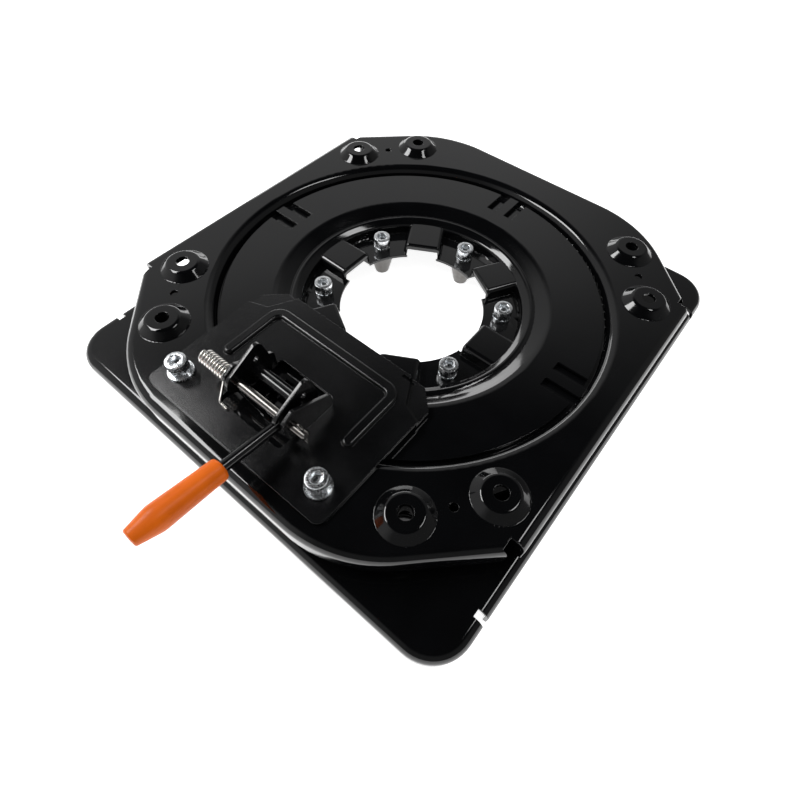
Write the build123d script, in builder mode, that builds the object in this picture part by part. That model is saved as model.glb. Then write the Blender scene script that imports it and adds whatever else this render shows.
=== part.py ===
from build123d import *
import os
from math import cos, radians, sin, tan

# Swivel seat base for a camper seat: a fixed pressed pan, a pressed turntable that turns on it
# about Z, a bolted hub ring that holds the turntable down, and a sprung latch with a hand lever.
# The lever is drawn where its two teeth just clear the hub ring; the spring swings them down
# from there into notches of the ring.
# Millimetres. Z = 0 is the surface the base stands on, the swivel axis is the Z axis,
# and the lever points to -Y.

# Stock and clearances
sheet = 3.0               # thickness of every pressed plate
bend = 8.0                # outer radius of the long bends
run_gap = 0.3             # gap between round faces that turn against each other
face_gap = 0.05           # gap between sliding flat faces
pin_gap = 0.05            # gap round pins, screws and pushed on pieces

# Base pan
base_width = 408.0        # along X
base_depth = 448.0        # along Y
base_corner = 32.0
base_height = 17.0        # top of the flat pan
relief_width = 6.0        # notches that break the rim near its corners
relief_depth = 9.0
relief_y = 175.0
base_bolt_x = 250.0       # hole spacing of the vehicle bolts
base_bolt_y = 330.0
base_bolt_hole = 13.0
cup_foot_r = 15.0         # pressed cups that carry the vehicle bolt holes down to the floor
cup_floor_r = 10.5
cup_land = 2.0
cup_bend = 2.5

# Raised seat of the base under the turntable
boss_foot_r = 187.0
boss_shoulder_r = 166.0
boss_top = 38.0
boss_inner_r = 116.0
well_r = 104.0
hub_seat = 26.5           # face the hub ring is bolted to
base_opening_r = 82.0
screw_ear_r = 13.0        # rounded ears under the hub screws
press_round = 5.0         # middle radius of the bends in the raised seat
foot_land = 8.0           # flat land between the raised seat and the pan

# Slide rings and the turntable lip between them
slide = 2.0
slide_inner_r = 121.2
collar = 2.4              # upright collar that centres the turntable lip
collar_gap = 0.7          # from the collar up to the hub ring
lower_slide_outer_r = 160.0
upper_slide_inner_r = 125.0
upper_slide_outer_r = 136.0

# Turntable plate
table_half_x = 198.0      # outer face of the side flanges
table_front = 221.0       # outer face of the lever side flange
table_back = 213.5
table_corner = 235.0      # distance of the cut corners from the axis
table_sweep = 108.0       # radius that blends the cut corners into front and back
table_edge = 10.0         # radius between the cut corners and the sides
table_top = 54.0
flange_drop = 20.0
notch_x = 12.0            # bend relief notches at the ends of the side flanges
notch_y = 9.0
notch_place_y = 137.5
well_edge_r = 169.0       # inner face of the round well
well_shoulder = 6.5       # middle radius of the well's upper bend
well_foot = 3.0           # middle radius of the well's lower bend

# Raised seat mounts in the turntable
dome_height = 6.0
dome_foot_r = 20.0
dome_top_r = 13.0
dome_land = 1.5
dome_bend = 3.0
dome_hole = 11.0
seat_long_x = 330.0       # pattern of plain holes
seat_long_y = 228.4
seat_wide_x = 250.4       # pattern with weld nuts
seat_wide_y = 329.6
pilot_x = 292.0           # small holes between the seat mounts
pilot_y = 280.0
pilot_hole = 6.4

# Hub ring
ring_outer_r = 165.0
ring_bowl_r = 120.0       # where the flat turns down into the bowl
ring_bowl_round = 10.0
ring_valley_r = 108.0
ring_valley = 41.4
ring_ridge_r = 104.5
ring_ridge = 43.4
ring_wall_r = 97.0        # outer wall of the screw pockets
ring_round = 2.6          # middle radius of the tight bends
pad_top = 39.5
pad_width = 34.0
pad_inner_r = 66.5
pad_lip = 5.7             # depth of the turned down pad edge
pad_draft = 8.0           # slope of the pad walls in degrees
pad_round = 4.5           # outer radius along the pad edges
pad_edge = 2.5            # outer radius of the turned down edge
pad_sink = 0.25           # how far the pad walls run past the ring wall
pad_count = 6
pocket_inner_r = 65.0
tongue_width = 10.0       # tongue between the two notches of a pair
lock_notch = 9.4          # width of one notch
lock_notch_inner_r = 138.0
tongue_reach = 3.0        # how far the tongues stand past the ring's edge
lock_places = 4

# M10 screws with cylinder heads, washers and nuts
screw_d = 10.0
screw_hole = 11.0
head_d = 16.0
head_h = 10.0
head_edge = 0.8
socket_af = 8.0
socket_depth = 5.0
spring_washer_h = 2.5
spring_washer_d = 16.0
split_gap = 1.2
flat_washer_h = 2.0
flat_washer_d = 20.0
nut_af = 17.0
nut_h = 8.0
hub_screw_circle = 162.6
hub_screw_count = 6
hub_screw_angle = 30.0    # first screw, from +X
hub_screw_length = 30.0
latch_bolt_length = 25.0
bush_top_d = 25.0         # tapered threaded bushes welded under the base
bush_bottom_d = 14.0
bush_bottom = 1.5

# Latch plate
plate_half_x = 89.0
plate_front = 207.5
plate_inner = 78.0
plate_round = 7.0
step_x = 26.7             # stepped inner corners, along X and Y
step_y = 27.0
step_knee = 15.0          # how far the step line runs in from the side before it turns
step_knee_y = 5.5
step_cut = 15.0
step_drop = 3.4
step_slope = 25.0         # slope of the step wall in degrees
slot_x = 11.0             # lanced slot beside the right step
slot_y = 3.0
slot_inset = 4.0
latch_bolt_mid = -1.6     # middle of the two latch bolts
latch_bolt_x = 142.6
latch_bolt_y = 187.0
window_left = 33.2        # left edge of the window's front part
window_front = 185.0
window_knee = 162.0       # where the window narrows to the left lug
window_back = 130.5
window_round = 3.0
rib_half_x = 62.0
rib_inner = 98.0
rib_end = 150.0
rib_width = 9.4
rib_height = 3.0
rib_corner = 9.0
rib_edge = 2.4
rib_groove = 5.0          # width of the hollow below the rib

# Lugs, pin and clip of the latch
lug_left_x = -26.3
lug_right_x = 31.5
pin_d = 7.0
pin_y = -171.5
pin_above = 21.6          # pin axis above the turntable
pin_left = -59.5
pin_right = 46.5
pin_edge = 0.8
lug_boss = 7.0            # lug in front of and below the pin axis
lug_crown = 12.4          # lug above the pin axis
lug_crown_y = -168.0
lug_foot_front = -160.0
lug_foot_back = -135.0
lug_shoulder = 16.0       # height of the lug's back shoulder above the turntable
lug_round = 4.0
clip_wire = 1.8
clip_x = 41.5
clip_leg = 5.0
clip_eye_r = 2.4

# Fork, cross bar and lever
ear_left_x = -22.0
ear_right_x = 25.0
ear_boss_r = 9.5
apex_y = -150.0
apex_above = 36.8
apex_r = 5.0
ear_back_y = -145.0
ear_back_above = 19.0
ear_heel_y = -147.0
ear_heel_above = 9.0
ear_round = 4.5
ear_hole_d = 4.5          # small hole below the top of each ear
ear_hole_y = -152.6
ear_hole_above = 29.2
bar_d = 8.0
bar_tenon_d = 5.0
bar_head = 1.0            # riveted ends outside the ears
bar_head_d = 7.6
bar_y = -155.5
bar_above = 20.0
web_y = -148.5
web_top_above = 13.0
web_bottom_above = 5.0
web_round = 4.0
tooth_width = 8.0
tooth_edge = 1.0
tooth_gap = 0.4           # drawn gap from the teeth down to the hub ring
rod_d = 8.0
rod_drop = 1.6            # lever axis below the pin axis
rod_tilt = 8.7            # lever slope at rest in degrees
rod_start = 4.2           # from the pin axis to the rod's slotted end
rod_end = 104.0
grip_start = 51.0
grip_length = 62.0
grip_mouth_d = 15.6
grip_mouth_round = 2.5
grip_belly_d = 18.4
grip_tip_d = 11.6
grip_taper = 16.0
grip_belly_round = 25.0
grip_tip_round = 1.6
grip_hole_d = 5.0

# Torsion spring round the left end of the pin
spring_wire = 2.2
spring_turns = 9.25       # ends a quarter turn on, in front of the pin
spring_mean_d = 11.2
spring_start = -55.0
spring_side_gap = 0.4     # from the coil to the left lug
spring_foot_y = -186.5    # the hooked leg rests on the plate in front of the window
spring_foot_gap = 0.9     # hooked leg above the latch plate
spring_hook = 8.0
spring_hook_drop = 1.0
spring_bend = 2.6

# Values worked out from the driving sizes
lip_inner_r = slide_inner_r + collar + run_gap
lip_bottom = boss_top + slide + face_gap
disc_bottom = lip_bottom + sheet + face_gap + slide
disc_top = disc_bottom + sheet
pocket_floor = hub_seat + sheet
flange_bottom = table_top - flange_drop
table_bottom = table_top - sheet
dome_top = table_top + dome_height
plate_top = table_top + sheet
pin_z = table_top + pin_above
screw_radius = hub_screw_circle / 2
screw_bore = screw_d + 2 * pin_gap
pin_bore = pin_d + 2 * pin_gap
tooth_x = (tongue_width + lock_notch) / 2
tooth_bottom = disc_top + tooth_gap
hub_screw_under = pocket_floor + spring_washer_h
latch_bolt_under = plate_top + flat_washer_h + spring_washer_h
seat_wide = [(x * seat_wide_x / 2, y * seat_wide_y / 2) for x in (-1, 1) for y in (-1, 1)]
seat_long = [(x * seat_long_x / 2, y * seat_long_y / 2) for x in (-1, 1) for y in (-1, 1)]
latch_bolts_at = [(latch_bolt_mid + side * latch_bolt_x / 2, -latch_bolt_y) for side in (-1, 1)]
hub_places = PolarLocations(screw_radius, hub_screw_count, start_angle=hub_screw_angle, rotate=False)

os.makedirs("parts", exist_ok=True)


def save(piece, name):
    """Label a finished piece and write it to its own file."""
    piece.part.label = name
    export_step(piece.part, f"parts/{name}.step")


def sheet_ring(points, radii):
    """Turn an open sheet section about Z, given by its middle line in (radius, height)."""
    with BuildPart() as ring:
        with BuildSketch(Plane.XZ):
            with BuildLine():
                FilletPolyline(*points, radius=radii)
            trace(line_width=sheet)
        revolve(axis=Axis.Z)
    return ring.part


def flat_ring(inner, outer, low, high):
    """A flat ring about Z between two heights."""
    with BuildPart() as ring:
        with BuildSketch(Plane.XY.offset(low)):
            Circle(outer)
            Circle(inner, mode=Mode.SUBTRACT)
        extrude(amount=high - low)
    return ring.part


def pan(outline, top, bottom):
    """A sheet pan with a rounded top edge; outline draws its plan at a given inset."""
    with BuildPart() as hollow:
        with BuildSketch(Plane.XY.offset(bottom)):
            outline(sheet)
        extrude(amount=top - bottom - sheet)
        fillet(hollow.faces().sort_by(Axis.Z)[-1].edges(), radius=bend - sheet)
    with BuildPart() as shell:
        with BuildSketch(Plane.XY.offset(bottom)):
            outline(0)
        extrude(amount=top - bottom)
        fillet(shell.faces().sort_by(Axis.Z)[-1].edges(), radius=bend)
        add(hollow.part, mode=Mode.SUBTRACT)
    return shell.part


def base_outline(inset):
    """Rounded rectangle of the base pan."""
    RectangleRounded(base_width - 2 * inset, base_depth - 2 * inset, base_corner - inset)


def table_outline(inset):
    """Straight sides, cut corners, and large arcs into the front and back edges."""
    side = table_half_x - inset
    front = table_front - inset
    back = table_back - inset
    cut = (table_corner - inset) * 2 ** 0.5
    sweep = table_sweep - inset
    edge = table_edge - inset
    with BuildLine() as path:
        FilletPolyline(
            (side, side - cut), (cut - front, -front), (front - cut, -front), (-side, side - cut),
            (-side, cut - side), (back - cut, back), (cut - back, back), (side, cut - side),
            radius=[edge, sweep, sweep, edge, edge, sweep, sweep, edge], close=True,
        )
    make_face(path.edges())


# Base plate: pan, raised seat with a bolting flange, screw ears, rim notches and vehicle bolt cups
base_mid = base_height - sheet / 2
boss_mid = boss_top - sheet / 2
flange_mid = hub_seat - sheet / 2
seat_section = [
    (boss_foot_r + foot_land, base_mid), (boss_foot_r, base_mid), (boss_shoulder_r, boss_mid),
    (boss_inner_r, boss_mid), (well_r, flange_mid), (base_opening_r, flange_mid),
]
raised_seat = sheet_ring(seat_section, press_round)
cup_land_r = cup_foot_r + cup_land
cup_section = [
    (cup_land_r, base_mid), (cup_foot_r, base_mid), (cup_floor_r, sheet / 2), (base_bolt_hole / 2, sheet / 2),
]
bolt_cup = sheet_ring(cup_section, cup_bend)
base_pan = pan(base_outline, base_height, 0)
with BuildPart() as base_plate:
    add(base_pan)
    with BuildSketch(Plane.XY):
        Circle(boss_foot_r + foot_land)
    extrude(amount=base_height, mode=Mode.SUBTRACT)
    add(raised_seat)
    with BuildSketch(Plane.XY.offset(hub_seat)):
        with hub_places:
            Circle(screw_ear_r)
    extrude(amount=-sheet)
    with BuildSketch(Plane.XY.offset(hub_seat)):
        with hub_places:
            Circle(screw_hole / 2)
    extrude(amount=-sheet, mode=Mode.SUBTRACT)
    with BuildSketch(Plane.XY):
        with GridLocations(base_bolt_x, base_bolt_y, 2, 2):
            Circle(cup_land_r)
        with GridLocations(base_width, 2 * relief_y, 2, 2):
            Rectangle(2 * relief_depth, relief_width)
    extrude(amount=base_height, mode=Mode.SUBTRACT)
    with GridLocations(base_bolt_x, base_bolt_y, 2, 2):
        add(bolt_cup)
save(base_plate, "base_plate")

# Tapered threaded bushes under the screw ears
bush_top = hub_seat - sheet
with BuildPart() as bush:
    with BuildSketch(Plane.XY.offset(bush_bottom)):
        Circle(bush_bottom_d / 2)
    with BuildSketch(Plane.XY.offset(bush_top)):
        Circle(bush_top_d / 2)
    loft()
    with BuildSketch(Plane.XY.offset(bush_bottom)):
        Circle(screw_bore / 2)
    extrude(amount=bush_top - bush_bottom, mode=Mode.SUBTRACT)
with BuildPart() as hub_bushes:
    with hub_places:
        add(bush.part)
save(hub_bushes, "hub_bushes")

# Slide rings above and below the turntable lip
with BuildPart() as lower_slide_ring:
    add(flat_ring(slide_inner_r, lower_slide_outer_r, boss_top, boss_top + slide))
    add(flat_ring(slide_inner_r, slide_inner_r + collar, boss_top, disc_bottom - collar_gap))
save(lower_slide_ring, "lower_slide_ring")

with BuildPart() as upper_slide_ring:
    add(flat_ring(upper_slide_inner_r, upper_slide_outer_r, disc_bottom - slide, disc_bottom))
save(upper_slide_ring, "upper_slide_ring")


def pad_profile(inset, top, bottom):
    """Section across a hub pad, with sloped sides and rounded upper edges."""
    crest = pad_top - inset
    half = pad_width / 2 - inset
    slope = tan(radians(pad_draft))
    low = half + (crest - bottom) * slope
    with BuildLine() as path:
        FilletPolyline((-low, bottom), (-half, crest), (half, crest), (low, bottom),
                       radius=[0, pad_round - inset, pad_round - inset, 0], close=True)
    make_face(path.edges())
    if top < crest:
        with Locations((0, top + crest / 2)):
            Rectangle(4 * pad_width, crest, mode=Mode.SUBTRACT)


# One raised pad of the hub ring along +X, with a rounded inner edge; its outer end runs out into the ridge
pad_outer_r = ring_wall_r + sheet + pad_sink
with BuildPart() as hub_pad:
    with BuildSketch(Plane.YZ.offset(pad_inner_r)):
        pad_profile(0, pad_top, hub_seat)
    extrude(amount=pad_outer_r - pad_inner_r)
    inner_end = hub_pad.faces().sort_by(Axis.X)[0]
    fillet(inner_end.edges().sort_by(Axis.Z)[-1], radius=pad_edge)

# Hollow below each pad, open at the inner end up to the turned down edge
pad_below = hub_seat - sheet
with BuildPart() as pad_hollow:
    with BuildSketch(Plane.YZ.offset(pad_inner_r + sheet)):
        pad_profile(sheet, pad_top, pad_below)
    extrude(amount=pad_outer_r - pad_inner_r)
    with BuildSketch(Plane.YZ.offset(pad_inner_r - sheet)):
        pad_profile(sheet, pad_top - pad_lip, pad_below)
    extrude(amount=3 * sheet)

# Hub ring: flat locking rim, bowl, ridge, screw pockets with raised pads between, and notch pairs
disc_mid = disc_top - sheet / 2
ring_wall_mid = ring_wall_r + sheet / 2
floor_mid = pocket_floor - sheet / 2
ring_section = [
    (ring_outer_r, disc_mid), (ring_bowl_r, disc_mid), (ring_valley_r, ring_valley - sheet / 2),
    (ring_ridge_r, ring_ridge - sheet / 2), (ring_wall_mid, pad_top - sheet / 2),
    (ring_wall_mid, floor_mid), (pocket_inner_r, floor_mid),
]
ring_body = sheet_ring(ring_section, [ring_bowl_round] + 4 * [ring_round])
notch_reach = 2 * (ring_outer_r + tongue_reach - lock_notch_inner_r)
with BuildPart() as hub_ring:
    add(ring_body)
    with PolarLocations(0, pad_count):
        add(hub_pad.part)
    with PolarLocations(0, pad_count):
        add(pad_hollow.part, mode=Mode.SUBTRACT)
    with BuildSketch(Plane.XY.offset(disc_bottom)):
        with PolarLocations(ring_outer_r, lock_places):
            Rectangle(2 * tongue_reach, tongue_width)
    extrude(amount=sheet)
    with BuildSketch(Plane.XY.offset(disc_bottom)):
        with PolarLocations(lock_notch_inner_r + notch_reach / 2, lock_places):
            with GridLocations(0, 2 * tooth_x, 1, 2):
                Rectangle(notch_reach, lock_notch)
    extrude(amount=sheet, mode=Mode.SUBTRACT)
    with BuildSketch(Plane.XY.offset(hub_seat)):
        with hub_places:
            Circle(screw_hole / 2)
    extrude(amount=sheet, mode=Mode.SUBTRACT)
save(hub_ring, "hub_ring")


def socket_screw(under_head, length):
    """A cylinder head screw on the Z axis with a six sided socket."""
    with BuildPart() as screw:
        with BuildSketch(Plane.XY.offset(under_head)):
            Circle(head_d / 2)
        extrude(amount=head_h)
        chamfer(screw.edges().sort_by(Axis.Z)[-1], length=head_edge)
        with BuildSketch(Plane.XY.offset(under_head + head_h)):
            RegularPolygon(socket_af / 2, 6, major_radius=False)
        extrude(amount=-socket_depth, mode=Mode.SUBTRACT)
        with BuildSketch(Plane.XY.offset(under_head)):
            Circle(screw_d / 2)
        extrude(amount=-length)
        chamfer(screw.edges().sort_by(Axis.Z)[0], length=head_edge)
    return screw.part


def split_washer(low):
    """A spring washer on the Z axis, cut through on one side."""
    with BuildPart() as washer:
        add(flat_ring(screw_bore / 2, spring_washer_d / 2, low, low + spring_washer_h))
        with BuildSketch(Plane.XY.offset(low)):
            with Locations((spring_washer_d / 2, 0)):
                Rectangle(spring_washer_d, split_gap)
        extrude(amount=spring_washer_h, mode=Mode.SUBTRACT)
    return washer.part


def weld_nut(top):
    """A six sided nut on the Z axis that hangs below the given height."""
    with BuildPart() as nut:
        with BuildSketch(Plane.XY.offset(top)):
            RegularPolygon(nut_af / 2, 6, major_radius=False)
            Circle(screw_bore / 2, mode=Mode.SUBTRACT)
        extrude(amount=-nut_h)
    return nut.part


# Hub screws and their spring washers
with BuildPart() as hub_screws:
    with hub_places:
        add(socket_screw(hub_screw_under, hub_screw_length))
save(hub_screws, "hub_screws")

with BuildPart() as hub_spring_washers:
    with hub_places:
        add(split_washer(pocket_floor))
save(hub_spring_washers, "hub_spring_washers")

# Upper plate: pan with a round well, raised seat mounts, relief notches and holes
table_mid = table_top - sheet / 2
dome_mid = dome_top - sheet / 2
lip_mid = lip_bottom + sheet / 2
well_mid_r = well_edge_r + sheet / 2
well_land_r = well_mid_r + 2 * well_shoulder
well_section = [
    (well_land_r, table_mid), (well_mid_r, table_mid), (well_mid_r, lip_mid), (lip_inner_r, lip_mid),
]
round_well = sheet_ring(well_section, [well_shoulder, well_foot])
dome_land_r = dome_foot_r + dome_land
dome_section = [
    (dome_land_r, table_mid), (dome_foot_r, table_mid), (dome_top_r, dome_mid), (dome_hole / 2, dome_mid),
]
seat_dome = sheet_ring(dome_section, dome_bend)
table_pan = pan(table_outline, table_top, flange_bottom)
with BuildPart() as upper_plate:
    add(table_pan)
    with BuildSketch(Plane.XY.offset(table_top)):
        Circle(well_land_r)
    extrude(amount=-sheet, mode=Mode.SUBTRACT)
    add(round_well)
    with BuildSketch(Plane.XY.offset(table_top)):
        with Locations(*seat_wide, *seat_long):
            Circle(dome_land_r)
        with Locations(*latch_bolts_at):
            Circle(screw_hole / 2)
        with GridLocations(pilot_x, pilot_y, 2, 2):
            Circle(pilot_hole / 2)
    extrude(amount=-sheet, mode=Mode.SUBTRACT)
    with Locations(*seat_wide, *seat_long):
        add(seat_dome)
    with BuildSketch(Plane.XY.offset(table_top)):
        with GridLocations(2 * table_half_x, 2 * notch_place_y, 2, 2):
            Rectangle(2 * notch_x, notch_y)
    extrude(amount=-flange_drop, mode=Mode.SUBTRACT)
save(upper_plate, "upper_plate")

# Weld nuts under the wide seat mounts and under the latch bolts
with BuildPart() as seat_nuts:
    with Locations(*seat_wide):
        add(weld_nut(dome_top - sheet))
save(seat_nuts, "seat_nuts")

with BuildPart() as latch_bolt_nuts:
    with Locations(*latch_bolts_at):
        add(weld_nut(table_bottom))
save(latch_bolt_nuts, "latch_bolt_nuts")

# Latch bolts and their washers
with BuildPart() as latch_bolts:
    with Locations(*latch_bolts_at):
        add(socket_screw(latch_bolt_under, latch_bolt_length))
save(latch_bolts, "latch_bolts")

with BuildPart() as latch_spring_washers:
    with Locations(*latch_bolts_at):
        add(split_washer(plate_top + flat_washer_h))
save(latch_spring_washers, "latch_spring_washers")

with BuildPart() as latch_flat_washers:
    with Locations(*latch_bolts_at):
        add(flat_ring(screw_bore / 2, flat_washer_d / 2, plate_top, plate_top + flat_washer_h))
save(latch_flat_washers, "latch_flat_washers")


def step_corner(side, grow, mode):
    """Plan of a stepped inner corner of the latch plate, its step line moved out by grow."""
    beyond_x = side * (plate_half_x + step_x)
    beyond_y = step_y - plate_inner
    side_x = side * plate_half_x
    side_y = -plate_inner - step_y - grow
    knee_x = side * (plate_half_x - step_knee - grow)
    inner_x = side * (plate_half_x - step_x - grow)
    with BuildLine() as path:
        Polyline(
            (beyond_x, side_y), (side_x, side_y), (knee_x, side_y + step_knee_y),
            (inner_x, -plate_inner), (inner_x, beyond_y), (beyond_x, beyond_y), close=True,
        )
    make_face(path.edges(), mode=mode)


def plate_outline():
    """Plan of the latch plate, with rounded front corners and cut inner corners."""
    cut_x = plate_half_x - step_cut
    cut_y = plate_inner + step_cut
    with BuildLine() as path:
        FilletPolyline(
            (-plate_half_x, -plate_front), (plate_half_x, -plate_front), (plate_half_x, -cut_y),
            (cut_x, -plate_inner), (-cut_x, -plate_inner), (-plate_half_x, -cut_y),
            radius=[plate_round, plate_round, 0, 0, 0, 0], close=True,
        )
    make_face(path.edges())


def rib_plan(width):
    """Plan of the U shaped rib at a given width, with round ends."""
    ends = [(side * rib_half_x, -rib_end) for side in (-1, 1)]
    corners = [(side * rib_half_x, -rib_inner) for side in (-1, 1)]
    with BuildLine() as path:
        FilletPolyline(ends[0], corners[0], corners[1], ends[1], radius=rib_corner)
    trace(path.edges(), line_width=width)
    with Locations(*ends):
        Circle(width / 2)


def latch_window():
    """Plan of the window between the lugs, wider in front of the left lug."""
    inner_left = lug_left_x + sheet / 2
    right = lug_right_x - sheet / 2
    with BuildLine() as path:
        FilletPolyline(
            (-window_left, -window_front), (right, -window_front), (right, -window_back),
            (inner_left, -window_back), (inner_left, -window_knee), (-window_left, -window_knee),
            radius=window_round, close=True,
        )
    make_face(path.edges())


def latch_lug(middle_x):
    """An upright lug of the latch plate with its pin hole, standing across X."""
    with BuildPart() as lug:
        with BuildSketch(Plane.YZ.offset(middle_x)):
            with BuildLine():
                FilletPolyline(
                    (lug_foot_front, table_top), (pin_y - lug_boss, pin_z - lug_boss),
                    (pin_y - lug_boss, pin_z + lug_boss), (lug_crown_y, pin_z + lug_crown),
                    (lug_foot_back, table_top + lug_shoulder), (lug_foot_back, table_top),
                    radius=[0, lug_round, lug_round, lug_round, lug_round, 0], close=True,
                )
            make_face()
            with Locations((pin_y, pin_z)):
                Circle(pin_bore / 2, mode=Mode.SUBTRACT)
        extrude(amount=sheet / 2, both=True)
    return lug.part


# Pressed rib of the latch plate
with BuildPart() as pressed_rib:
    with BuildSketch(Plane.XY.offset(plate_top)):
        rib_plan(rib_width)
    extrude(amount=rib_height)
    fillet(pressed_rib.faces().sort_by(Axis.Z)[-1].edges(), radius=rib_edge)

# Latch plate: flat plate with stepped inner corners, a rib, a window and two upright lugs
slot_mid = (plate_half_x - step_x - slot_x / 2 + slot_inset, -plate_inner - slot_inset)
with BuildPart() as latch_plate:
    with BuildSketch(Plane.XY.offset(table_top)):
        plate_outline()
    extrude(amount=sheet)
    with BuildSketch(Plane.XY.offset(table_top - step_drop)):
        plate_outline()
        step_corner(-1, sheet, Mode.INTERSECT)
    extrude(amount=step_drop)
    with BuildSketch(Plane.XY.offset(table_top - step_drop)):
        plate_outline()
        step_corner(1, sheet, Mode.INTERSECT)
    extrude(amount=step_drop)
    with BuildSketch(Plane.XY.offset(plate_top - step_drop)):
        step_corner(-1, 0, Mode.ADD)
        step_corner(1, 0, Mode.ADD)
    extrude(amount=step_drop, taper=-step_slope, mode=Mode.SUBTRACT)
    add(pressed_rib.part)
    with BuildSketch(Plane.XY.offset(table_top)):
        rib_plan(rib_groove)
        latch_window()
        with Locations(*latch_bolts_at):
            Circle(screw_hole / 2)
    extrude(amount=sheet, mode=Mode.SUBTRACT)
    with BuildSketch(Plane.XY.offset(table_top - step_drop)):
        with Locations(slot_mid):
            Rectangle(slot_x, slot_y)
    extrude(amount=sheet + step_drop, mode=Mode.SUBTRACT)
    add(latch_lug(lug_left_x))
    add(latch_lug(lug_right_x))
save(latch_plate, "latch_plate")

# Pivot pin with a cross hole for its clip and a slot that holds the spring's inner end
clip_bore = clip_wire + 2 * pin_gap
pin_slot = spring_wire + 2 * pin_gap
pin_slot_end = spring_start + pin_slot / 2
with BuildPart() as pivot_pin:
    with BuildSketch(Plane.YZ.offset(pin_left)):
        with Locations((pin_y, pin_z)):
            Circle(pin_d / 2)
    extrude(amount=pin_right - pin_left)
    chamfer(pivot_pin.edges().filter_by(GeomType.CIRCLE), length=pin_edge)
    with BuildSketch(Plane.XY.offset(pin_z)):
        with Locations((clip_x, pin_y)):
            Circle(clip_bore / 2)
        with Locations((pin_left, pin_y)):
            Rectangle(2 * (pin_slot_end - pin_left), pin_slot)
    extrude(amount=pin_d, both=True, mode=Mode.SUBTRACT)
save(pivot_pin, "pivot_pin")

# Split clip through the pin: an eye on top and a leg that is bent over below
clip_top = pin_z + pin_d / 2 + clip_wire / 2
clip_bottom = pin_z - pin_d / 2 - clip_wire
clip_path = [(clip_x, clip_top), (clip_x, clip_bottom), (clip_x + clip_leg, clip_bottom - clip_leg / 2)]
with BuildPart() as pin_clip:
    with BuildLine(Plane.XZ.offset(-pin_y)):
        FilletPolyline(*clip_path, radius=clip_wire)
    with BuildSketch(Plane((clip_x, pin_y, clip_top), z_dir=(0, 0, -1))):
        Circle(clip_wire / 2)
    sweep()
    with Locations((clip_x, pin_y, clip_top + clip_eye_r)):
        Torus(clip_eye_r, clip_wire / 2, rotation=(90, 0, 0))
save(pin_clip, "pin_clip")

# Torsion spring: a coil round the pin, an inner end across the pin's slot and a leg hooked on the plate
spring_r = spring_mean_d / 2
spring_end = lug_left_x - sheet / 2 - spring_side_gap - spring_wire / 2
spring_pitch = (spring_end - spring_start) / spring_turns
spring_foot = plate_top + spring_foot_gap + spring_wire / 2
leg_start = Vector(spring_end, pin_y - spring_r, pin_z)
leg_run = Vector(spring_end, spring_foot_y, spring_foot) - leg_start
leg_dir = leg_run.normalized()
hook_end = (spring_hook, leg_run.length + spring_hook_drop)
leg_plane = Plane(leg_start, x_dir=(1, 0, 0), z_dir=Vector(1, 0, 0).cross(leg_dir))
with BuildPart() as torsion_spring:
    with BuildLine() as coil:
        Helix(spring_pitch, spring_end - spring_start, spring_r, (spring_start, pin_y, pin_z), (1, 0, 0))
    with BuildSketch(Plane(coil.edges()[0] @ 0, z_dir=coil.edges()[0] % 0)):
        Circle(spring_wire / 2)
    sweep(path=coil.edges(), is_frenet=True)
    with BuildLine(leg_plane) as leg:
        FilletPolyline((0, 0), (0, leg_run.length), hook_end, radius=spring_bend)
    with BuildSketch(Plane(leg_start, z_dir=leg_dir)):
        Circle(spring_wire / 2)
    sweep(path=leg.edges())
    with BuildSketch(Plane.XY.offset(pin_z - pin_d / 2)):
        with Locations((spring_start, pin_y)):
            Circle(spring_wire / 2 - pin_gap)
    extrude(amount=spring_r + pin_d / 2 + spring_wire / 4)
save(torsion_spring, "torsion_spring")

# Fork: two ears joined by a web that carries the teeth
web_top = table_top + web_top_above
web_bottom = table_top + web_bottom_above
web_path = [
    (ear_left_x, web_y - 2 * web_round), (ear_left_x, web_y),
    (ear_right_x, web_y), (ear_right_x, web_y - 2 * web_round),
]
with BuildPart() as latch_fork:
    with BuildSketch(Plane.YZ.offset(ear_left_x), Plane.YZ.offset(ear_right_x)):
        with Locations((pin_y, pin_z)):
            Circle(ear_boss_r)
        with Locations((apex_y, table_top + apex_above)):
            Circle(apex_r)
        with Locations((ear_back_y, table_top + ear_back_above), (ear_heel_y, table_top + ear_heel_above)):
            Circle(ear_round)
        make_hull()
    extrude(amount=sheet / 2, both=True)
    with BuildSketch(Plane.XY.offset(web_bottom)):
        with BuildLine():
            FilletPolyline(*web_path, radius=web_round)
        trace(line_width=sheet)
    extrude(amount=web_top - web_bottom)
    with BuildSketch(Plane.XY.offset(tooth_bottom)):
        with Locations((-tooth_x, web_y), (tooth_x, web_y)):
            Rectangle(tooth_width, sheet)
    extrude(amount=web_top - tooth_bottom)
    chamfer(latch_fork.edges().group_by(Axis.Z)[0].filter_by(Axis.Y), length=tooth_edge)
    with BuildSketch(Plane.YZ.offset(ear_left_x)):
        with Locations((pin_y, pin_z)):
            Circle(pin_bore / 2)
        with Locations((bar_y, table_top + bar_above)):
            Circle(bar_tenon_d / 2 + pin_gap)
        with Locations((ear_hole_y, table_top + ear_hole_above)):
            Circle(ear_hole_d / 2)
    extrude(amount=2 * (ear_right_x - ear_left_x), both=True, mode=Mode.SUBTRACT)
save(latch_fork, "latch_fork")

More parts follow.
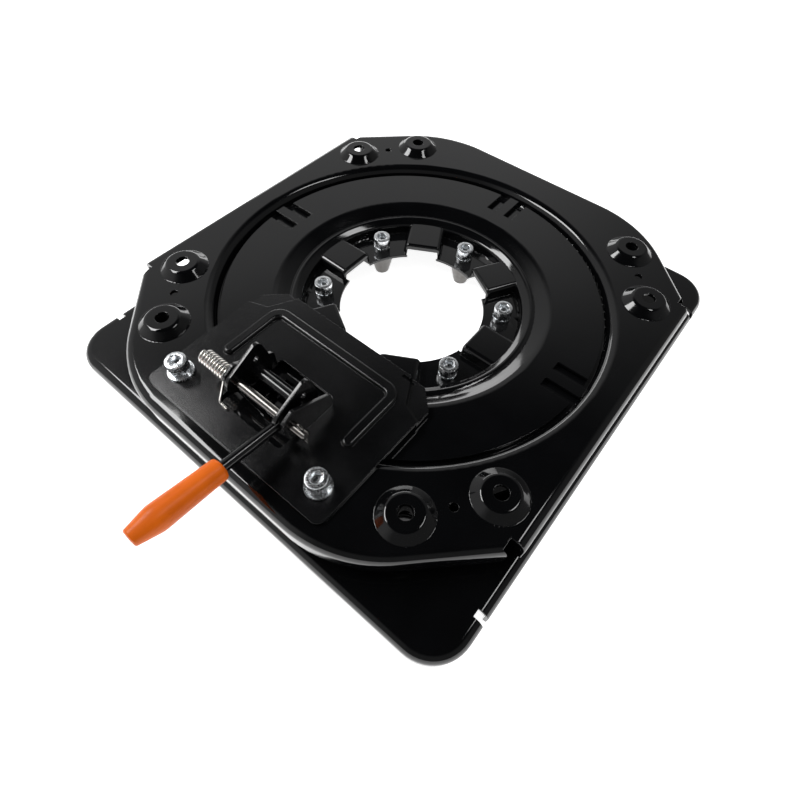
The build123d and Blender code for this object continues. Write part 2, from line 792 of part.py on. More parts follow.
# Cross bar between the ears, with tenons riveted over outside them
bar_ends = [
    (ear_left_x + sheet / 2, ear_right_x - sheet / 2, bar_d),
    (ear_left_x - sheet / 2, ear_right_x + sheet / 2, bar_tenon_d),
    (ear_left_x - sheet / 2 - bar_head, ear_left_x - sheet / 2, bar_head_d),
    (ear_right_x + sheet / 2, ear_right_x + sheet / 2 + bar_head, bar_head_d),
]
with BuildPart() as fork_cross_bar:
    for left, right, across in bar_ends:
        with BuildSketch(Plane.YZ.offset(left)):
            with Locations((bar_y, table_top + bar_above)):
                Circle(across / 2)
        extrude(amount=right - left)
save(fork_cross_bar, "fork_cross_bar")

# Lever rod along its own axis, slotted at its end to sit over the right ear
lever_dir = (0, -cos(radians(rod_tilt)), sin(radians(rod_tilt)))
lever_foot = (ear_right_x, pin_y, pin_z - rod_drop)
lever_plane = Plane(lever_foot, x_dir=(1, 0, 0), z_dir=lever_dir)
rod_slot_end = ear_boss_r + rod_drop * lever_dir[2] + pin_gap
with BuildPart() as lever_rod:
    with BuildSketch(lever_plane.offset(rod_start)):
        Circle(rod_d / 2)
    extrude(amount=rod_end - rod_start)
    with BuildSketch(lever_plane.offset(rod_start)):
        Rectangle(sheet + 2 * pin_gap, rod_d)
    extrude(amount=rod_slot_end - rod_start, mode=Mode.SUBTRACT)
save(lever_rod, "lever_rod")

# Moulded grip turned about the lever axis
grip_end = grip_start + grip_length
rod_bore = rod_d / 2 + pin_gap
grip_section = [
    (rod_bore, grip_start), (grip_mouth_d / 2, grip_start), (grip_belly_d / 2, grip_end - grip_taper),
    (grip_tip_d / 2, grip_end), (grip_hole_d / 2, grip_end), (grip_hole_d / 2, rod_end), (rod_bore, rod_end),
]
grip_plane = Plane(lever_foot, x_dir=(1, 0, 0), z_dir=(0, -lever_dir[2], lever_dir[1]))
with BuildPart() as lever_grip:
    with BuildSketch(grip_plane):
        with BuildLine():
            FilletPolyline(
                *grip_section, close=True,
                radius=[0, grip_mouth_round, grip_belly_round, grip_tip_round, 0, 0, 0],
            )
        make_face()
    revolve(axis=Axis(lever_foot, lever_dir))
save(lever_grip, "lever_grip")
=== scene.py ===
"""Swivel seat base: finishes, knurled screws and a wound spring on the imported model."""
import math

import bmesh
import bpy
from bpy.props import FloatProperty, FloatVectorProperty, IntProperty, PointerProperty
from mathutils import Matrix, Vector


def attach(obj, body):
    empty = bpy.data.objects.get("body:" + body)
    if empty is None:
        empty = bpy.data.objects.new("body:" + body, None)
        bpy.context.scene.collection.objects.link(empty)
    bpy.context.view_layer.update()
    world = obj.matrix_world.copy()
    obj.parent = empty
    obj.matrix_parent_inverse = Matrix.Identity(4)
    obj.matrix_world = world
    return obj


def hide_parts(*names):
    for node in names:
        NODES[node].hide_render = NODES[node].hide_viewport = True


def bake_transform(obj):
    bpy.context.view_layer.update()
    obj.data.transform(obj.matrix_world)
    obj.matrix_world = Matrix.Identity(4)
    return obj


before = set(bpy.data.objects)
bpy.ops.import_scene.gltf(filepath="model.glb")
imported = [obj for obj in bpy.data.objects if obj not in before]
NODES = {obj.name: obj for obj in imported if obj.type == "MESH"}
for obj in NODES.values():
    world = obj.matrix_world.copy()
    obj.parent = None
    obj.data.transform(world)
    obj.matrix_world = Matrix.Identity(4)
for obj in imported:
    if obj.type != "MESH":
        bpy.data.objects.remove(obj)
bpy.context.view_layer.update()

bl_info = {
    "name": "Swivel Seat Base",
    "version": (1, 0, 0),
    "blender": (4, 5, 0),
    "location": "View3D > Sidebar > Seat Base",
    "description": "Gloss black pressings, plated screws, sprung latch and moulded grip",
    "category": "Object",
}

MM = 0.001

# Which nodes carry which finish
PLATE_NODES = ("base_plate", "hub_ring", "upper_plate", "seat_nuts", "latch_bolt_nuts")
LATCH_PAINT_NODES = ("latch_fork", "fork_cross_bar", "lever_rod")
GRAINED_NODES = ("latch_plate",)
ZINC_NODES = ("hub_spring_washers", "latch_spring_washers", "latch_flat_washers")
DARK_STEEL_NODES = ("pivot_pin", "pin_clip", "hub_bushes")
SLIDE_NODES = ("lower_slide_ring", "upper_slide_ring")
GRIP_NODES = ("lever_grip",)

# Sheet metal nodes whose cut edges are rounded
EDGE_NODES = ("base_plate", "hub_ring", "upper_plate", "latch_plate", "latch_fork")


class PaintSettings(bpy.types.PropertyGroup):
    """Gloss paint of the pressings."""
    colour: FloatVectorProperty(
        name="Colour", description="Colour of the paint film",
        subtype="COLOR", size=4, min=0.0, max=1.0, default=(0.0022, 0.0023, 0.0026, 1.0))
    plate_roughness: FloatProperty(
        name="Plate roughness", description="Mean roughness of the large pressings",
        min=0.0, max=1.0, default=0.075, subtype="FACTOR")
    latch_roughness: FloatProperty(
        name="Latch roughness", description="Mean roughness of the latch parts",
        min=0.0, max=1.0, default=0.13, subtype="FACTOR")
    grained_roughness: FloatProperty(
        name="Grained roughness", description="Mean roughness of the latch plate",
        min=0.0, max=1.0, default=0.2, subtype="FACTOR")
    edge_width: FloatProperty(
        name="Edge width", description="Width of the rounded sheet edges",
        default=0.4 * MM, unit="LENGTH")
    edge_angle: FloatProperty(
        name="Edge angle", description="Edges sharper than this are rounded",
        default=math.radians(40.0), unit="ROTATION")


class HardwareSettings(bpy.types.PropertyGroup):
    """Plated and bare steel parts."""
    zinc_colour: FloatVectorProperty(
        name="Zinc", description="Colour of the plated screws and washers",
        subtype="COLOR", size=4, min=0.0, max=1.0, default=(0.88, 0.89, 0.90, 1.0))
    steel_colour: FloatVectorProperty(
        name="Steel", description="Colour of the bare spring wire",
        subtype="COLOR", size=4, min=0.0, max=1.0, default=(0.74, 0.72, 0.69, 1.0))
    # Dark grey steel colour given to the pin, clip and bushes
    dark_colour: FloatVectorProperty(
        name="Dark steel", description="Colour of the oiled pin, clip and bushes",
        subtype="COLOR", size=4, min=0.0, max=1.0, default=(0.16, 0.155, 0.15, 1.0))
    head_radius: FloatProperty(
        name="Head radius", description="Radius of the screw heads",
        default=8.0 * MM, unit="LENGTH")
    head_height: FloatProperty(
        name="Head height", description="Height of the screw heads",
        default=10.0 * MM, unit="LENGTH")
    head_chamfer: FloatProperty(
        name="Head chamfer", description="Plain chamfer above the knurling",
        default=0.6 * MM, unit="LENGTH")
    knurls: IntProperty(
        name="Knurls", description="Ridges round a screw head", min=12, max=96, default=40)
    knurl_depth: FloatProperty(
        name="Knurl depth", description="Depth of the grooves between the ridges",
        default=0.3 * MM, unit="LENGTH")
    socket_width: FloatProperty(
        name="Socket width", description="Hexagon socket across its flats",
        default=8.0 * MM, unit="LENGTH")
    socket_depth: FloatProperty(
        name="Socket depth", description="Depth of the hexagon socket",
        default=5.0 * MM, unit="LENGTH")
    shank_radius: FloatProperty(
        name="Shank radius", description="Radius of the screw shanks",
        default=5.0 * MM, unit="LENGTH")


class MouldingSettings(bpy.types.PropertyGroup):
    """Moulded plastic parts."""
    grip_colour: FloatVectorProperty(
        name="Grip", description="Colour of the lever grip",
        subtype="COLOR", size=4, min=0.0, max=1.0, default=(0.68, 0.124, 0.001, 1.0))
    slide_colour: FloatVectorProperty(
        name="Slide rings", description="Colour of the slide rings",
        subtype="COLOR", size=4, min=0.0, max=1.0, default=(0.55, 0.53, 0.47, 1.0))


class StageSettings(bpy.types.PropertyGroup):
    """Floor, lights and camera."""
    floor_half: FloatProperty(
        name="Floor half size", description="Half the side of the floor",
        default=30.0, unit="LENGTH")
    lens: FloatProperty(
        name="Lens", description="Focal length of the camera on a 36 mm sensor",
        default=22.47, unit="CAMERA")
    wash_power: FloatProperty(
        name="Floor wash", description="Power of the overhead light on the floor",
        default=70.0, unit="POWER")
    floor_glow: FloatProperty(
        name="Floor glow", description="Light that the floor itself gives off",
        min=0.0, max=1.0, default=0.9, subtype="FACTOR")
    air: FloatProperty(
        name="Room light", description="Brightness of the room's pale left side",
        min=0.0, default=0.55)


class SeatBaseSettings(bpy.types.PropertyGroup):
    """All settings of the add-on."""
    paint: PointerProperty(type=PaintSettings)
    hardware: PointerProperty(type=HardwareSettings)
    moulding: PointerProperty(type=MouldingSettings)
    stage: PointerProperty(type=StageSettings)


def settings():
    """The scene's settings, by group."""
    return bpy.context.scene.seat_base


# Shader nodes: socket kinds, and the colour mix node's sockets by number
VECTOR = "NodeSocketVector"
COLOUR = "NodeSocketColor"
NUMBER = "NodeSocketFloat"
MIX_FACTOR, MIX_FROM, MIX_TO, MIX_RESULT = 0, 6, 7, 2

# What every surface group puts out
SURFACE = (("Colour", COLOUR), ("Roughness", NUMBER), ("Height", NUMBER))

# The part of a noise's range that is spread over a finish's own range
NOISE_LOW, NOISE_HIGH = 0.3, 0.7

# Depth of the fine relief at full strength
RELIEF_DEPTH = 0.1 * MM

WHITE = (1.0, 1.0, 1.0, 1.0)


def shared_group(name, build):
    """A shader node group by name, built the first time it is asked for."""
    return bpy.data.node_groups.get(name) or build(name)


def new_group(name, inputs):
    """A surface group with named inputs, and its input and output nodes."""
    tree = bpy.data.node_groups.new(name, "ShaderNodeTree")
    tree.interface.new_socket("Place", in_out="INPUT", socket_type=VECTOR)
    for label, kind, default in inputs:
        socket = tree.interface.new_socket(label, in_out="INPUT", socket_type=kind)
        socket.default_value = default
    for label, kind in SURFACE:
        tree.interface.new_socket(label, in_out="OUTPUT", socket_type=kind)
    return tree, tree.nodes.new("NodeGroupInput"), tree.nodes.new("NodeGroupOutput")


def add_node(tree, kind, **values):
    """A node of a kind with its plain properties set."""
    node = tree.nodes.new(kind)
    for key, value in values.items():
        setattr(node, key, value)
    return node


def wire(tree, *pairs):
    """Links outputs to inputs, given as (node, output, node, input)."""
    for source, out, target, into in pairs:
        tree.links.new(source.outputs[out], target.inputs[into])


def noise(tree, source, scale_name, detail):
    """Noise on the group's Place input, at the scale of a named input."""
    node = add_node(tree, "ShaderNodeTexNoise")
    node.inputs["Detail"].default_value = detail
    wire(tree, (source, "Place", node, "Vector"), (source, scale_name, node, "Scale"))
    return node


def map_range(tree, start, end, low, high, **values):
    """A node that maps start..end to low..high."""
    node = add_node(tree, "ShaderNodeMapRange", **values)
    node.inputs["From Min"].default_value = start
    node.inputs["From Max"].default_value = end
    node.inputs["To Min"].default_value = low
    node.inputs["To Max"].default_value = high
    return node


def spread(tree, pattern, low, high):
    """The middle of a noise's range mapped to low..high."""
    node = map_range(tree, NOISE_LOW, NOISE_HIGH, low, high)
    wire(tree, (pattern, "Fac", node, "Value"))
    return node


def patchy_gloss(tree, source, sink, pattern, low, high):
    """Roughness from the Gloss input times low..high, by a pattern."""
    swing = spread(tree, pattern, low, high)
    gloss = add_node(tree, "ShaderNodeMath", operation="MULTIPLY")
    wire(tree, (swing, "Result", gloss, 0), (source, "Gloss", gloss, 1),
         (gloss, 0, sink, "Roughness"))


def drifting_colour(tree, source, sink, pattern, other, most):
    """Colour that goes up to a share of the way to another input, by a pattern."""
    share = spread(tree, pattern, 0.0, most)
    mix = add_node(tree, "ShaderNodeMix", data_type="RGBA", blend_type="MIX")
    wire(tree, (share, "Result", mix, MIX_FACTOR), (source, "Colour", mix, MIX_FROM),
         (source, other, mix, MIX_TO), (mix, MIX_RESULT, sink, "Colour"))


def film_group(name):
    """Paint film: faint mottle in colour, patchy gloss, orange peel and fine grain as height."""
    tree, source, sink = new_group(
        name,
        [("Colour", COLOUR, (0.01, 0.01, 0.01, 1.0)), ("Gloss", NUMBER, 0.15),
         ("Patch scale", NUMBER, 22.0), ("Peel scale", NUMBER, 420.0),
         ("Grain scale", NUMBER, 2400.0), ("Grain", NUMBER, 0.3)])
    patch = noise(tree, source, "Patch scale", detail=3.0)
    peel = noise(tree, source, "Peel scale", detail=1.0)
    grain = noise(tree, source, "Grain scale", detail=2.0)
    shade = spread(tree, patch, 0.85, 1.25)
    tint = add_node(tree, "ShaderNodeVectorMath", operation="SCALE")
    wire(tree, (source, "Colour", tint, 0), (shade, "Result", tint, "Scale"),
         (tint, "Vector", sink, "Colour"))
    patchy_gloss(tree, source, sink, patch, 0.8, 1.3)
    height = add_node(tree, "ShaderNodeMath", operation="MULTIPLY_ADD")
    wire(tree, (grain, "Fac", height, 0), (source, "Grain", height, 1), (peel, "Fac", height, 2),
         (height, 0, sink, "Height"))
    return tree


def plating_group(name):
    """Plated or drawn metal: slight colour drift, scuffed roughness and fine marks."""
    tree, source, sink = new_group(
        name,
        [("Colour", COLOUR, (0.7, 0.7, 0.7, 1.0)), ("Drift", COLOUR, (0.6, 0.62, 0.7, 1.0)),
         ("Gloss", NUMBER, 0.25), ("Patch scale", NUMBER, 160.0), ("Mark scale", NUMBER, 1500.0)])
    patch = noise(tree, source, "Patch scale", detail=4.0)
    mark = noise(tree, source, "Mark scale", detail=3.0)
    drifting_colour(tree, source, sink, patch, "Drift", 0.55)
    patchy_gloss(tree, source, sink, mark, 0.75, 1.4)
    wire(tree, (mark, "Fac", sink, "Height"))
    return tree


def moulding_group(name):
    """Moulded plastic: cloudy colour, satin variation and spark eroded grain."""
    tree, source, sink = new_group(
        name,
        [("Colour", COLOUR, (0.8, 0.2, 0.02, 1.0)), ("Shade", COLOUR, (0.5, 0.1, 0.01, 1.0)),
         ("Gloss", NUMBER, 0.4), ("Cloud scale", NUMBER, 45.0), ("Grain scale", NUMBER, 1800.0)])
    cloud = noise(tree, source, "Cloud scale", detail=4.0)
    grain = noise(tree, source, "Grain scale", detail=2.0)
    drifting_colour(tree, source, sink, cloud, "Shade", 0.5)
    patchy_gloss(tree, source, sink, grain, 0.85, 1.2)
    wire(tree, (grain, "Fac", sink, "Height"))
    return tree


def skin(name, group, values, relief, metallic=0.0, specular=0.5, glow=0.0):
    """A material whose colour, roughness and fine relief come from one of the groups."""
    material = bpy.data.materials.new(name)
    material.use_nodes = True
    tree = material.node_tree
    shader = tree.nodes["Principled BSDF"]
    shader.inputs["Metallic"].default_value = metallic
    shader.inputs["Specular IOR Level"].default_value = specular
    shader.inputs["Emission Color"].default_value = WHITE
    shader.inputs["Emission Strength"].default_value = glow
    place = add_node(tree, "ShaderNodeTexCoord")
    surface = add_node(tree, "ShaderNodeGroup", node_tree=group)
    for label, value in values.items():
        surface.inputs[label].default_value = value
    bump = add_node(tree, "ShaderNodeBump")
    bump.inputs["Strength"].default_value = relief
    bump.inputs["Distance"].default_value = RELIEF_DEPTH
    wire(tree, (place, "Object", surface, "Place"), (surface, "Colour", shader, "Base Color"),
         (surface, "Roughness", shader, "Roughness"), (surface, "Height", bump, "Height"),
         (bump, "Normal", shader, "Normal"))
    return material


def cover(piece, material):
    """Gives an object one material."""
    piece.data.materials.clear()
    piece.data.materials.append(material)


def dress(names, material):
    """Gives CAD nodes one material."""
    for name in names:
        cover(NODES[name], material)


# Rounded sheet edges: gap that is merged, angle of faces that count as one, and bevel steps
MERGE_GAP = 0.01 * MM
FLAT_ANGLE = math.radians(0.5)
EDGE_STEPS = 2


def soften(node, width, angle):
    """Merges a node's faces, rounds its sharp edges and evens its shading, all as modifiers."""
    merge = node.modifiers.new("merge", "WELD")
    merge.merge_threshold = MERGE_GAP
    flat = node.modifiers.new("flat", "DECIMATE")
    flat.decimate_type = "DISSOLVE"
    flat.angle_limit = FLAT_ANGLE
    edge = node.modifiers.new("edge", "BEVEL")
    edge.width = width
    edge.segments = EDGE_STEPS
    edge.limit_method = "ANGLE"
    edge.angle_limit = angle
    edge.use_clamp_overlap = False
    shade = node.modifiers.new("shade", "WEIGHTED_NORMAL")
    shade.keep_sharp = False


class SEATBASE_OT_paint(bpy.types.Operator):
    """Gloss black paint on the pressings, the latch and the lever, with rounded sheet edges"""
    bl_idname = "seat_base.paint"
    bl_label = "Paint Pressings"

    def execute(self, context):
        paint = settings().paint
        film = shared_group("paint_film", film_group)
        plates = skin("gloss_black_plate", film,
                      {"Colour": paint.colour, "Gloss": paint.plate_roughness, "Grain": 0.15},
                      relief=0.06)
        latch = skin("gloss_black_latch", film,
                     {"Colour": paint.colour, "Gloss": paint.latch_roughness,
                      "Peel scale": 900.0, "Grain": 0.5}, relief=0.2)
        grained = skin("grained_black_plate", film,
                       {"Colour": paint.colour, "Gloss": paint.grained_roughness,
                        "Peel scale": 1100.0, "Grain": 0.8}, relief=0.5)
        dress(PLATE_NODES, plates)
        dress(LATCH_PAINT_NODES, latch)
        dress(GRAINED_NODES, grained)
        for name in EDGE_NODES:
            soften(NODES[name], paint.edge_width, paint.edge_angle)
        return {"FINISHED"}


# Screws: height under the head, shank length and places in the row frame, angles in degrees
HUB_SCREW_UNDER = 32.0 * MM
HUB_SCREW_LENGTH = 30.0 * MM
HUB_SCREW_RADIUS = 81.3 * MM
HUB_SCREWS = 6
FIRST_HUB_SCREW = 30.0
HUB_SCREW_STEP = 60.0
LATCH_BOLT_UNDER = 61.5 * MM
LATCH_BOLT_LENGTH = 25.0 * MM
LATCH_BOLTS_AT = ((-72.9 * MM, -187.0 * MM), (69.7 * MM, -187.0 * MM))

# One screw: share of a normal from which a face looks along Z, how near the head's radius its
# rim is found, and how far the socket's countersink stands past the corners
FACING = 0.9
RIM_GAP = 0.1 * MM
SOCKET_SIDES = 6
MOUTH_MARGIN = 0.1 * MM
MOUTH_SIDES = 48
SCREW_EDGE = 0.15 * MM
SCREW_EDGE_ANGLE = math.radians(35.0)
SCREW_SMOOTH_ANGLE = math.radians(30.0)


def only(piece):
    """Makes one object the selected and active one."""
    bpy.ops.object.select_all(action="DESELECT")
    piece.select_set(True)
    bpy.context.view_layer.objects.active = piece


def pick(test, kind="FACE"):
    """In edit mode, selects only the faces or vertices of the active mesh that pass a test."""
    bpy.ops.mesh.select_mode(type=kind)
    bpy.ops.mesh.select_all(action="DESELECT")
    shape = bmesh.from_edit_mesh(bpy.context.active_object.data)
    for part in shape.faces if kind == "FACE" else shape.verts:
        part.select_set(test(part))
    bmesh.update_edit_mesh(bpy.context.active_object.data)


def lift(height):
    """In edit mode, moves what is selected along Z."""
    bpy.ops.transform.translate(value=(0.0, 0.0, height))


def cut(piece, cutter):
    """Takes a cutter out of a piece and deletes the cutter."""
    faces = len(piece.data.polygons)
    only(piece)
    taking = piece.modifiers.new("cut", "BOOLEAN")
    taking.object = cutter
    taking.operation = "DIFFERENCE"
    bpy.ops.object.modifier_apply(modifier=taking.name)
    if len(piece.data.polygons) == faces:
        raise RuntimeError(f"{cutter.name} took nothing out of {piece.name}")
    bpy.data.objects.remove(cutter)


def knurled_head(size):
    """A knurled cylinder head that stands on Z = 0, left in edit mode."""
    bpy.ops.object.select_all(action="DESELECT")
    bpy.ops.mesh.primitive_cylinder_add(
        vertices=2 * size.knurls, radius=size.head_radius, depth=size.head_height,
        location=(0.0, 0.0, size.head_height / 2))
    bpy.ops.object.transform_apply(location=True, rotation=True, scale=True)
    bpy.ops.object.mode_set(mode="EDIT")
    pick(lambda face: face.normal.z > FACING)
    bpy.ops.mesh.inset(thickness=size.head_chamfer, depth=size.head_chamfer)
    bpy.ops.mesh.select_all(action="SELECT")
    lift(-size.head_chamfer)
    pick(lambda vert: vert.co.z < 0.0, "VERT")
    lift(size.head_chamfer)
    pick(lambda vert: math.hypot(vert.co.x, vert.co.y) > size.head_radius - RIM_GAP
         and round(math.atan2(vert.co.y, vert.co.x) / math.pi * size.knurls) % 2 == 1, "VERT")
    inward = 1.0 - size.knurl_depth / size.head_radius
    bpy.ops.transform.resize(value=(inward, inward, 1.0))
    return bpy.context.active_object


def pull_shank(size, length):
    """In edit mode, extrudes the shank from under the head and leaves edit mode."""
    pick(lambda face: face.normal.z < -FACING)
    bpy.ops.mesh.inset(thickness=size.head_radius - size.shank_radius)
    bpy.ops.mesh.extrude_region_move(TRANSFORM_OT_translate={"value": (0.0, 0.0, -length)})
    bpy.ops.mesh.inset(thickness=size.head_chamfer, depth=0.0)
    bpy.ops.object.mode_set(mode="OBJECT")


def cut_socket(screw, size):
    """Cuts the hexagon socket and its countersunk mouth into the head."""
    top = (0.0, 0.0, size.head_height)
    corner = size.socket_width / math.sqrt(3.0)
    bpy.ops.object.select_all(action="DESELECT")
    bpy.ops.mesh.primitive_cylinder_add(
        vertices=SOCKET_SIDES, radius=corner, depth=2 * size.socket_depth, location=top)
    cut(screw, bpy.context.active_object)
    mouth = corner + MOUTH_MARGIN
    bpy.ops.object.select_all(action="DESELECT")
    bpy.ops.mesh.primitive_cone_add(
        vertices=MOUTH_SIDES, radius1=0.0, radius2=2 * mouth, depth=2 * mouth, location=top)
    cut(screw, bpy.context.active_object)


def model_screw(name, length):
    """One socket head screw on the Z axis, its head standing on Z = 0."""
    size = settings().hardware
    screw = knurled_head(size)
    screw.name = name
    pull_shank(size, length)
    cut_socket(screw, size)
    edge = screw.modifiers.new("edge", "BEVEL")
    edge.width = SCREW_EDGE
    edge.segments = EDGE_STEPS
    edge.limit_method = "ANGLE"
    edge.angle_limit = SCREW_EDGE_ANGLE
    bpy.ops.object.modifier_apply(modifier=edge.name)
    bpy.ops.object.shade_smooth_by_angle(angle=SCREW_SMOOTH_ANGLE)
    return screw


def set_of_screws(name, length, places, material, node, body):
    """Copies one screw to all its places and joins the copies into one piece."""
    first = model_screw(name, length)
    copies = []
    for place in places:
        only(first)
        bpy.ops.object.duplicate(linked=False)
        copy = bpy.context.active_object
        copy.location = place
        copies.append(copy)
    bpy.data.objects.remove(first)
    bpy.ops.object.select_all(action="DESELECT")
    for copy in copies:
        copy.select_set(True)
    bpy.context.view_layer.objects.active = copies[0]
    bpy.ops.object.transform_apply(location=True, rotation=True, scale=True)
    bpy.ops.object.join()
    piece = bpy.context.active_object
    piece.name = name
    cover(piece, material)
    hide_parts(node)
    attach(piece, body)


def hub_screw_places():
    """Where the hub screws' heads stand, round the swivel axis."""
    places = []
    for number in range(HUB_SCREWS):
        angle = math.radians(FIRST_HUB_SCREW + HUB_SCREW_STEP * number)
        places.append((HUB_SCREW_RADIUS * math.cos(angle), HUB_SCREW_RADIUS * math.sin(angle),
                       HUB_SCREW_UNDER))
    return places


class SEATBASE_OT_hardware(bpy.types.Operator):
    """Knurled socket screws, zinc plate on the washers, dark grey steel on pin, clip and bushes
    """
    bl_idname = "seat_base.hardware"
    bl_label = "Fit Hardware"

    def execute(self, context):
        hardware = settings().hardware
        plating = shared_group("metal_skin", plating_group)
        zinc = skin("bright_zinc", plating,
                    {"Colour": hardware.zinc_colour, "Drift": (0.70, 0.75, 0.79, 1.0),
                     "Gloss": 0.22}, relief=0.06, metallic=1.0)
        dress(ZINC_NODES, zinc)
        # Dark grey steel colour on the pin, clip and bushes
        dark = skin("dark_grey_steel", plating,
                    {"Colour": hardware.dark_colour, "Drift": (0.10, 0.09, 0.08, 1.0),
                     "Gloss": 0.2, "Patch scale": 320.0}, relief=0.15, metallic=1.0)
        dress(DARK_STEEL_NODES, dark)
        latch_places = [(x, y, LATCH_BOLT_UNDER) for x, y in LATCH_BOLTS_AT]
        set_of_screws("hub_socket_screws", HUB_SCREW_LENGTH, hub_screw_places(), zinc,
                      "hub_screws", "base")
        set_of_screws("latch_socket_bolts", LATCH_BOLT_LENGTH, latch_places, zinc,
                      "latch_bolts", "turntable")
        return {"FINISHED"}


# Gap within which the spring's vertices are merged, and the angle up to which its shading is
# smooth
SPRING_MERGE_GAP = 0.005 * MM
SPRING_SMOOTH_ANGLE = math.radians(40.0)


class SEATBASE_OT_spring(bpy.types.Operator):
    """Bright torsion spring between the pin and the latch plate"""
    bl_idname = "seat_base.spring"
    bl_label = "Wind Spring"

    def execute(self, context):
        hardware = settings().hardware
        spring = bpy.data.objects.new("wound_spring", NODES["torsion_spring"].data.copy())
        context.scene.collection.objects.link(spring)
        only(spring)
        bpy.ops.mesh.customdata_custom_splitnormals_clear()
        bpy.ops.object.mode_set(mode="EDIT")
        bpy.ops.mesh.select_all(action="SELECT")
        bpy.ops.mesh.remove_doubles(threshold=SPRING_MERGE_GAP)
        bpy.ops.object.mode_set(mode="OBJECT")
        bpy.ops.object.shade_smooth_by_angle(angle=SPRING_SMOOTH_ANGLE)
        steel = skin("bright_steel", shared_group("metal_skin", plating_group),
                     {"Colour": hardware.steel_colour, "Drift": (0.58, 0.55, 0.51, 1.0),
                      "Gloss": 0.16, "Patch scale": 320.0}, relief=0.04, metallic=1.0)
        cover(spring, steel)
        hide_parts("torsion_spring")
        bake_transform(spring)
        return {"FINISHED"}


class SEATBASE_OT_mouldings(bpy.types.Operator):
    """Orange plastic on the grip and natural plastic on the slide rings"""
    bl_idname = "seat_base.mouldings"
    bl_label = "Colour Mouldings"

    def execute(self, context):
        moulding = settings().moulding
        plastic = shared_group("moulded_skin", moulding_group)
        grip = skin("orange_grip", plastic,
                    {"Colour": moulding.grip_colour, "Shade": (0.40, 0.056, 0.001, 1.0),
                     "Gloss": 0.36}, relief=0.12, specular=0.22)
        slide = skin("slide_plastic", plastic,
                     {"Colour": moulding.slide_colour, "Shade": (0.42, 0.40, 0.34, 1.0),
                      "Gloss": 0.5}, relief=0.1)
        dress(GRIP_NODES, grip)
        dress(SLIDE_NODES, slide)
        return {"FINISHED"}


# Camera axes and place, in metres
CAMERA_RIGHT = Vector((0.77214, 0.63490, 0.02668))
CAMERA_UP = Vector((-0.54767, 0.64359, 0.53464))
CAMERA_BACK = Vector((0.32227, -0.42743, 0.84465))
CAMERA_PLACE = Vector((0.18562, -0.25678, 0.36591))
SENSOR_WIDTH = 36.0
NEAR_CLIP = 0.01

# Soft boxes: name, direction from the object, distance, width, height and power
SOFT_BOXES = (
    ("far_left_card", (-0.71, 0.68, 0.18), 2.4, 1.6, 0.5, 9.0),
    ("left_strip", (-0.568, -0.302, 0.766), 1.6, 0.9, 0.36, 14.0),
    ("right_strip", (0.36, 0.25, 0.90), 1.8, 0.6, 0.22, 4.0),
)
SOFT_BOX_TARGET = (0.0, 0.0, 0.03)
WASH_PLACE = (0.0, 0.0, 3.0)
WASH_TARGET = (0.0, 0.0, 0.0)
WASH_SIDE = 5.0

# Room light: heights between which it fades overhead, sides between which it fades to the right
OVERHEAD_FADE = (0.62, 0.86)
RIGHT_FADE = (-0.40, 0.05)
RIGHT_LEVEL = 0.3

# The floor lies just under the rim that stands on it
FLOOR_HEIGHT = -0.5 * MM


def area_light(name, place, target, width, height, power):
    """A rectangular soft light aimed at a point."""
    data = bpy.data.lights.new(name, "AREA")
    data.shape = "RECTANGLE"
    data.size = width
    data.size_y = height
    data.energy = power
    light = bpy.data.objects.new(name, data)
    bpy.context.scene.collection.objects.link(light)
    light.location = place
    light.rotation_euler = (Vector(target) - Vector(place)).to_track_quat("-Z", "Y").to_euler()
    return light


def fade(tree, source, axis, between, low, high):
    """A smooth step along one axis of a direction, from low to high."""
    start, end = between
    node = map_range(tree, start, end, low, high, interpolation_type="SMOOTHSTEP")
    wire(tree, (source, axis, node, "Value"))
    return node


def studio_air(brightness):
    """Room light that fades overhead and towards the right; seen directly the room is white."""
    world = bpy.data.worlds.new("studio_air")
    world.use_nodes = True
    tree = world.node_tree
    background = tree.nodes["Background"]
    background.inputs["Color"].default_value = WHITE
    place = add_node(tree, "ShaderNodeTexCoord")
    axes = add_node(tree, "ShaderNodeSeparateXYZ")
    overhead = fade(tree, axes, "Z", OVERHEAD_FADE, brightness, 0.0)
    right = fade(tree, axes, "X", RIGHT_FADE, 1.0, RIGHT_LEVEL)
    sight = add_node(tree, "ShaderNodeLightPath")
    level = add_node(tree, "ShaderNodeMath", operation="MULTIPLY")
    whole = add_node(tree, "ShaderNodeMath", operation="MAXIMUM")
    wire(tree, (place, "Generated", axes, "Vector"), (overhead, "Result", level, 0),
         (right, "Result", level, 1), (level, 0, whole, 0), (sight, "Is Camera Ray", whole, 1),
         (whole, 0, background, "Strength"))
    return world


def studio_camera(lens):
    """The camera at the photograph's place and angle."""
    data = bpy.data.cameras.new("studio_camera")
    data.lens = lens
    data.sensor_width = SENSOR_WIDTH
    data.clip_start = NEAR_CLIP
    camera = bpy.data.objects.new("studio_camera", data)
    bpy.context.scene.collection.objects.link(camera)
    turn = Matrix((CAMERA_RIGHT, CAMERA_UP, CAMERA_BACK)).transposed().to_4x4()
    camera.matrix_world = Matrix.Translation(CAMERA_PLACE) @ turn
    return camera


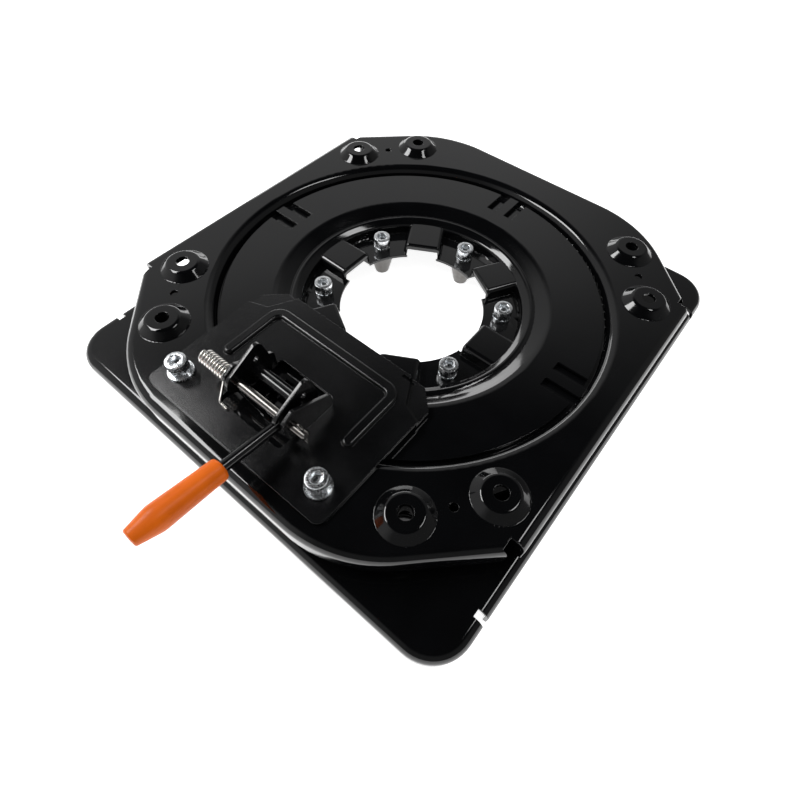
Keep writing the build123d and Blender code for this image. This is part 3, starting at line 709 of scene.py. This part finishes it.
class SEATBASE_OT_stage(bpy.types.Operator):
    """Pale floor, soft studio light and the camera"""
    bl_idname = "seat_base.stage"
    bl_label = "Set Stage"

    def execute(self, context):
        stage = settings().stage
        bpy.ops.object.select_all(action="DESELECT")
        bpy.ops.mesh.primitive_plane_add(
            size=2 * stage.floor_half, location=(0.0, 0.0, FLOOR_HEIGHT))
        floor = context.active_object
        floor.name = "studio_floor"
        paper = skin("pale_paper", shared_group("moulded_skin", moulding_group),
                     {"Colour": (0.93, 0.93, 0.93, 1.0), "Shade": (0.91, 0.91, 0.91, 1.0),
                      "Gloss": 0.8, "Cloud scale": 2.0},
                     relief=0.02, specular=0.1, glow=stage.floor_glow)
        cover(floor, paper)
        for name, way, distance, width, height, power in SOFT_BOXES:
            place = Vector(way).normalized() * distance
            area_light(name, place, SOFT_BOX_TARGET, width, height, power)
        wash = area_light("floor_wash", WASH_PLACE, WASH_TARGET, WASH_SIDE, WASH_SIDE,
                          stage.wash_power)
        wash.visible_glossy = False
        context.scene.world = studio_air(stage.air)
        context.scene.camera = studio_camera(stage.lens)
        context.scene.view_settings.view_transform = "Standard"
        return {"FINISHED"}


class SEATBASE_PT_panel(bpy.types.Panel):
    """Settings and steps of the seat base"""
    bl_idname = "SEATBASE_PT_panel"
    bl_label = "Seat Base"
    bl_space_type = "VIEW_3D"
    bl_region_type = "UI"
    bl_category = "Seat Base"

    def draw(self, context):
        for step in STEPS:
            self.layout.operator(step.bl_idname)
        groups = settings()
        for group in (groups.paint, groups.hardware, groups.moulding, groups.stage):
            box = self.layout.box()
            for key in group.__annotations__:
                box.prop(group, key)


STEPS = (SEATBASE_OT_paint, SEATBASE_OT_hardware, SEATBASE_OT_spring, SEATBASE_OT_mouldings,
         SEATBASE_OT_stage)
GROUPS = (PaintSettings, HardwareSettings, MouldingSettings, StageSettings, SeatBaseSettings)
CLASSES = GROUPS + STEPS + (SEATBASE_PT_panel,)


def register():
    """Registers the classes and hangs the settings on the scene."""
    for cls in CLASSES:
        bpy.utils.register_class(cls)
    bpy.types.Scene.seat_base = PointerProperty(type=SeatBaseSettings)


def unregister():
    """Takes the settings and classes away again."""
    del bpy.types.Scene.seat_base
    for cls in reversed(CLASSES):
        bpy.utils.unregister_class(cls)


def main():
    """Runs every step in order."""
    register()
    bpy.ops.seat_base.paint()
    bpy.ops.seat_base.hardware()
    bpy.ops.seat_base.spring()
    bpy.ops.seat_base.mouldings()
    bpy.ops.seat_base.stage()


if __name__ == "__main__":
    main()
